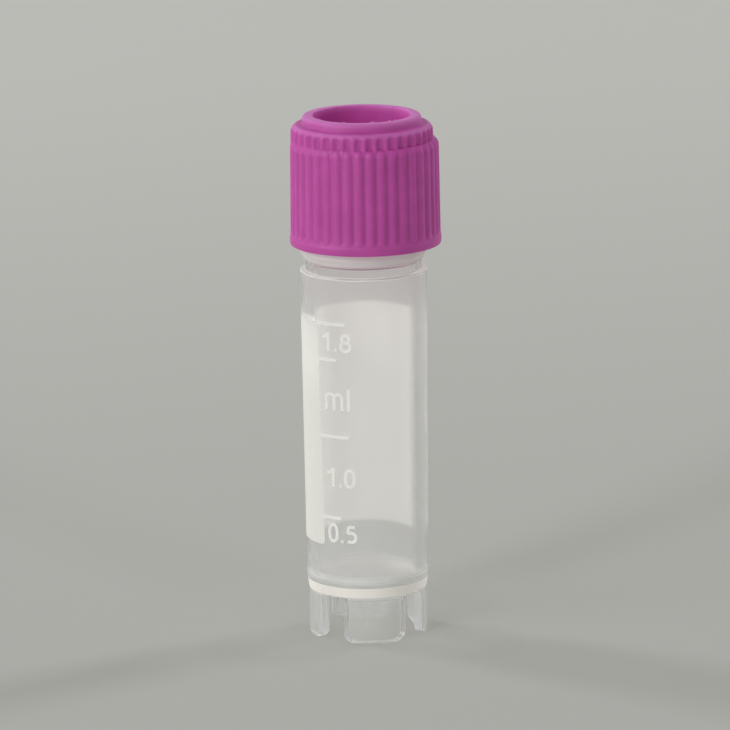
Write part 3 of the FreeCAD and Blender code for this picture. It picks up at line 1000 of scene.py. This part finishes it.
def cap_plastic(scene):
    """Moulded magenta plastic: satin, with a soft mottle and a fine grain.

    Its thin rim and the edge of the crown's shoulder are painted lighter: painted light on the rim
    for its glossy light ring and the light coming through it, and a painted highlight on the
    shoulder's edge.
    """
    colours, s = scene.vial_finishes, scene.vial_cap
    f = Finish(bpy.data.materials.new("cap_plastic"), colours.cap)
    mottle = f.noise(420, 4.0, 0.6)
    grain = f.noise(9000, 2.0)
    lighter = tuple(min(1.0, c * 1.05 + 0.005) for c in colours.cap)
    darker = tuple(c * 0.95 for c in colours.cap)
    plain = f.blend(f.step(mottle, 0.3, 0.7), darker, lighter)
    height = f.along("Z")
    # Painted light: the rim's top is painted lighter, for its glossy light ring and the light through
    # it.
    thin = f.step(height, s.crown_flat + 0.1 * MM, CAP_BOX[1].z)
    # Painted highlight: the edge of the crown's shoulder is painted towards the rim's lighter colour.
    shoulder = f.step(f.radius(), s.rim + 0.17 * MM, s.rim + 0.27 * MM) * f.between(
        height,
        (s.crown_flat - 0.5 * MM, s.crown_flat - 0.22 * MM),
        (s.crown_flat - 0.08 * MM, s.crown_flat - 0.01 * MM),
    )
    solid = f.shader(
        Base_Color=f.blend(thin + shoulder * 0.8, plain, colours.rim),
        Roughness=0.44 + mottle * 0.1,
        Normal=f.bump(grain + mottle * 0.6, 0.16, 0.06 * MM),
        Specular_IOR_Level=0.65,
        Subsurface_Weight=0.5,
        Subsurface_Radius=(1.0, 0.25, 0.7),
        Subsurface_Scale=0.6 * MM,
    )
    return f.finish(f.mix(f.lamp_rays() * 0.45, solid, f.passing((1.0, 0.6, 0.86))))


def white_ink(scene, name, glow):
    """Pad-printed white ink: matt, with the slight mottle of a thin layer, lit up from behind."""
    colour = scene.vial_finishes.ink
    f = Finish(bpy.data.materials.new(name), colour)
    mottle = f.noise(1500, 4.0, 0.65)
    thin = f.noise(300, 2.0, 0.5, (1, 1, 0.5))
    full = f.step(mottle * 0.6 + thin * 0.4, 0.35, 0.65)
    solid = f.shader(
        Base_Color=f.blend(full, tuple(0.96 * c for c in colour), colour),
        Roughness=0.5 + mottle * 0.15,
        Normal=f.bump(mottle, 0.2, 0.02 * MM),
    )
    solid = f.mix(glow, solid, f.glowing(colour))
    return f.finish(f.mix(f.lamp_rays() * 0.8, solid, f.passing((0.97, 0.96, 0.94))))


def silicone(scene):
    """Cut silicone sheet: soft white rubber with a faint grain."""
    colour = scene.vial_finishes.seal
    f = Finish(bpy.data.materials.new("silicone"), colour)
    grain = f.noise(5000, 3.0)
    return f.finish(f.shader(
        Base_Color=f.blend(grain, tuple(0.92 * c for c in colour), colour),
        Roughness=0.6 + grain * 0.15,
        Normal=f.bump(grain, 0.2, 0.03 * MM),
    ))


def floor_paper(scene):
    """Matt paper under and behind the vial, with painted light falloff: a little darker towards the
    viewer.
    """
    colour = scene.vial_finishes.floor
    f = Finish(bpy.data.materials.new("floor_paper"), colour)
    fibre = f.noise(700, 3.0)
    # Painted light falloff: the paper is painted darker near the viewer and lighter far off.
    near = tuple(0.92 * c for c in colour)
    far = tuple(1.11 * c for c in colour)
    painted_falloff = f.blend(f.step(f.along("Y"), -0.05, 0.35), near, far)
    return f.finish(f.shader(
        Base_Color=f.blend(fibre * 0.06, painted_falloff, tuple(0.8 * c for c in colour)),
        Roughness=0.9,
        Specular_IOR_Level=0.1,
    ))


# ----------------------------------------------------------------- operators

def dress(piece, material):
    """Gives every slot of a piece the material."""
    slots = piece.data.materials
    for number in range(len(slots)):
        slots[number] = material
    if not slots:
        slots.append(material)


class VIAL_OT_tube(bpy.types.Operator):
    """Build the clear tube with its slotted feet and threaded neck"""

    bl_idname = "vial.tube"
    bl_label = "Clear tube"

    def execute(self, context):
        dress(make_tube(context.scene), clear_plastic(context.scene))
        return {"FINISHED"}


class VIAL_OT_cap(bpy.types.Operator):
    """Build the ribbed screw cap and its inner thread"""

    bl_idname = "vial.cap"
    bl_label = "Screw cap"

    def execute(self, context):
        material = cap_plastic(context.scene)
        dress(make_cap(context.scene), material)
        dress(make_cap_thread(context.scene), material)
        return {"FINISHED"}


class VIAL_OT_seal(bpy.types.Operator):
    """Give the sealing washer its rubber"""

    bl_idname = "vial.seal"
    bl_label = "Sealing washer"

    def execute(self, context):
        dress(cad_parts["sealing_washer"], silicone(context.scene))
        return {"FINISHED"}


class VIAL_OT_print(bpy.types.Operator):
    """Print the writing panel and the scale on the tube"""

    bl_idname = "vial.print"
    bl_label = "White print"

    def execute(self, context):
        dress(make_panel(context.scene), white_ink(context.scene, "panel_ink", 0.5))
        dress(make_scale(context.scene), white_ink(context.scene, "scale_ink", 0.3))
        return {"FINISHED"}


# The lamps: name, place and side in metres, and level.
LAMPS = (
    ("lamp_front_left", (-0.81, -1.08, 0.72), 0.3, 0.11),
    ("lamp_back_left", (-1.1, 0.77, 0.72), 0.25, 0.18),
    ("lamp_back_right", (1.1, 0.77, 0.72), 0.25, 0.16),
    ("lamp_front_right", (0.8, -1.07, 0.72), 0.3, 0.05),
    ("lamp_wide_left", (-1.2, -0.7, 0.65), 1.1, 0.14),
)
LAMP_AIM = (0, 0, 0.02)
# Only lamps wider than this, in metres, show in gloss and through clear plastic.
WIDE_LAMP = 1.0
# The room's light, from its level at the horizon to that at a direction's height of From Max.
ROOM_LEVELS = {"From Max": 0.7, "To Min": 0.46, "To Max": 0.13}
# Half the floor's side and the camera's place in metres, and its lens and film in millimetres.
FLOOR_REACH = 3.0
CAMERA_PLACE = (0, -0.494, 0.1386)
CAMERA_TIP, CAMERA_ROLL = math.radians(77.08), math.radians(-0.8)
CAMERA_LENS, CAMERA_FILM = 269.6, 36


def add_lamp(name, place, size, level):
    """A square lamp that looks at the vial and gives level times the light of a plain white room.

    At a distance d and a height h a lamp lays watts * h / (pi d^3) on the floor, and white paper
    there shows as white at pi, so watts = level * pi^2 * d^3 / h.
    """
    lamp = bpy.data.lights.new(name, "AREA")
    lamp.shape, lamp.size = "SQUARE", size
    lamp.energy = level * math.pi ** 2 * math.dist(place, (0, 0, 0)) ** 3 / place[2]
    holder = bpy.data.objects.new(name, lamp)
    bpy.context.scene.collection.objects.link(holder)
    holder.location = place
    holder.visible_glossy = holder.visible_transmission = size > WIDE_LAMP
    away = np.array(place) - np.array(LAMP_AIM)
    holder.rotation_euler = (
        math.atan2(math.hypot(away[0], away[1]), away[2]), 0, math.atan2(away[0], -away[1]),
    )


def light_room(scene):
    """Light from all round, brighter at the horizon than overhead, as in a room with pale walls.

    The camera, and what gloss and clear plastic show of the room, see walls as pale as the floor.
    """
    room = Finish(bpy.data.worlds.new("room"))
    height = room.along("Z", room.add("TexCoord", out="Generated"))
    fall = room.add("MapRange", {"Value": height, **ROOM_LEVELS})
    seen = room.ray("Camera").math("MAXIMUM", room.ray("Glossy"))
    seen = seen.math("MAXIMUM", room.ray("Transmission"))
    colour = room.blend(seen, scene.vial_finishes.sky, scene.vial_finishes.walls)
    light = room.add("Background", {"Color": colour, "Strength": fall + seen * (1 - fall)})
    scene.world = room.finish(light, "OutputWorld")


def lay_floor(scene):
    """A square floor far wider than the vial."""
    side = np.array([-FLOOR_REACH, FLOOR_REACH])
    flat = np.stack([*np.meshgrid(side, side), np.zeros((2, 2))], axis=-1)
    mesh = bpy.data.meshes.new("floor")
    mesh.from_pydata(flat.reshape(-1, 3).tolist(), [], [(0, 1, 3, 2)])
    floor = bpy.data.objects.new("floor", mesh)
    scene.collection.objects.link(floor)
    dress(floor, floor_paper(scene))


def place_camera(scene):
    """A camera that faces +Y, tipped up from straight down, then rolled about its line of sight."""
    camera = bpy.data.cameras.new("camera")
    camera.sensor_width, camera.lens = CAMERA_FILM, CAMERA_LENS
    camera.clip_start, camera.clip_end = 0.05, 20
    holder = bpy.data.objects.new("camera", camera)
    scene.collection.objects.link(holder)
    holder.location = CAMERA_PLACE
    sight = Matrix.Rotation(CAMERA_TIP, 3, "X") @ Matrix.Rotation(CAMERA_ROLL, 3, "Z")
    holder.rotation_euler = sight.to_euler()
    scene.camera = holder


class VIAL_OT_stage(bpy.types.Operator):
    """Lay the floor and place the lights and the camera"""

    bl_idname = "vial.stage"
    bl_label = "Stage"

    def execute(self, context):
        lay_floor(context.scene)
        light_room(context.scene)
        for lamp in LAMPS:
            add_lamp(*lamp)
        place_camera(context.scene)
        context.scene.view_settings.view_transform = "Standard"
        return {"FINISHED"}


class VIAL_PT_panel(bpy.types.Panel):
    """Buttons and sizes of the vial"""

    bl_idname = "VIAL_PT_panel"
    bl_label = "Cryogenic vial"
    bl_space_type = "VIEW_3D"
    bl_region_type = "UI"
    bl_category = "Vial"

    def draw(self, context):
        for operator in OPERATORS:
            self.layout.operator(operator.bl_idname)
        for attribute, kind in GROUPS.items():
            box = self.layout.box()
            box.label(text=kind.bl_rna.description)
            for key in kind.__annotations__:
                box.prop(getattr(context.scene, attribute), key)


GROUPS = {
    "vial_tube": VialTubeSizes,
    "vial_cap": VialCapSizes,
    "vial_thread": VialThreadSizes,
    "vial_print": VialPrintSizes,
    "vial_finishes": VialFinishes,
}
OPERATORS = (VIAL_OT_tube, VIAL_OT_cap, VIAL_OT_seal, VIAL_OT_print, VIAL_OT_stage)


def register():
    for attribute, kind in GROUPS.items():
        bpy.utils.register_class(kind)
        setattr(bpy.types.Scene, attribute, bpy.props.PointerProperty(type=kind))
    for kind in (*OPERATORS, VIAL_PT_panel):
        bpy.utils.register_class(kind)


def unregister():
    for kind in (VIAL_PT_panel, *reversed(OPERATORS)):
        bpy.utils.unregister_class(kind)
    for attribute, kind in reversed(GROUPS.items()):
        delattr(bpy.types.Scene, attribute)
        bpy.utils.unregister_class(kind)


def main():
    register()
    for operator in OPERATORS:
        getattr(bpy.ops.vial, operator.bl_idname.split(".")[1])()


if __name__ == "__main__":
    main()
